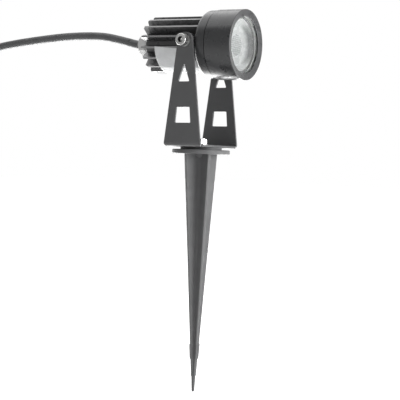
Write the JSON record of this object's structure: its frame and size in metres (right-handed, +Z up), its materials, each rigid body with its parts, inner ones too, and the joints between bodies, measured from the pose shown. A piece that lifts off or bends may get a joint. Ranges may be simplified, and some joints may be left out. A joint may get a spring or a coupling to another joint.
{
  "type": "garden spike spotlight",
  "caption": "Garden spotlight: a finned round lamp head tilts in a bent bracket that turns on a crossed-blade ground spike; a gland at the back takes its supply cable",
  "frame": {"origin": "on the spike axis at the underside of its flange, which is the level of the ground when the spike is pushed in", "axes": "+Z up along the spike axis, +X the way the lamp shines when it points level, +Y along the tilt axis"},
  "size_m": [0.2964, 0.1164, 0.2822],
  "materials": {
    "spike_plastic": "satin black moulded plastic",
    "bracket_paint": "satin black powder coat on bent steel sheet",
    "body_aluminium": "cast aluminium with a satin black coat",
    "screw_steel": "zinc-plated steel",
    "insert_brass": "plain",
    "clear_glass": "clear tempered",
    "clear_lens": "clear moulded optic with a textured rim",
    "seal_rubber": "matt black",
    "holder_plastic": "matt black",
    "board_white": "white solder mask on an aluminium core",
    "pad_grey": "grey gap pad",
    "chip_yellow": "phosphor patch on a white ceramic",
    "board_green": "solder mask",
    "ferrite_grey": "sintered",
    "can_aluminium": "sleeved can",
    "chip_black": "moulded",
    "wire_pvc": "insulated wire",
    "gland_plastic": "light grey nylon",
    "cable_rubber": "smooth dark jacket",
    "core_pvc": "insulated cores",
    "copper": "tinned strands",
    "tie_nylon": "black nylon",
    "label_silver": "bare silver film"
  },
  "bodies": {
    "stake": {"spike": "spike_plastic", "threaded_insert": "insert_brass", "swivel_bolt": "screw_steel", "swivel_washer": "screw_steel"},
    "bracket": {"yoke": "bracket_paint", "cable": "cable_rubber", "cable_coil": "cable_rubber", "cable_cores": "core_pvc", "core_strands": "copper", "coil_tie": "tie_nylon"},
    "head": {"tilt_screws": "screw_steel", "spring_washers": "screw_steel", "finned_body": "body_aluminium", "bezel": "body_aluminium", "body_seal": "seal_rubber", "cover_glass": "clear_glass", "glass_gasket": "seal_rubber", "lens": "clear_lens", "lens_holder": "holder_plastic", "led_cob": "chip_yellow", "led_board": "board_white", "thermal_pad": "pad_grey", "board_screws": "screw_steel", "driver_board": "board_green", "driver_inductor": "ferrite_grey", "driver_capacitor": "can_aluminium", "driver_chips": "chip_black", "lead_wires": "wire_pvc", "supply_wires": "wire_pvc", "gland_body": "gland_plastic", "gland_washer": "seal_rubber", "gland_seal": "seal_rubber", "gland_nut": "gland_plastic", "cable_inlet": "cable_rubber", "blank_label": "label_silver"}
  },
  "joints": [
    {"name": "swivel", "type": "hinge", "parent": "stake", "child": "bracket", "pos_m": [0, 0, 0.005], "axis": [0, 0, 1], "range_deg": [-180, 180]},
    {"name": "tilt", "type": "hinge", "parent": "bracket", "child": "head", "pos_m": [0, 0, 0.08], "axis": [0, -1, 0], "range_deg": [-90, 75], "deforming": ["cable"]}
  ]
}
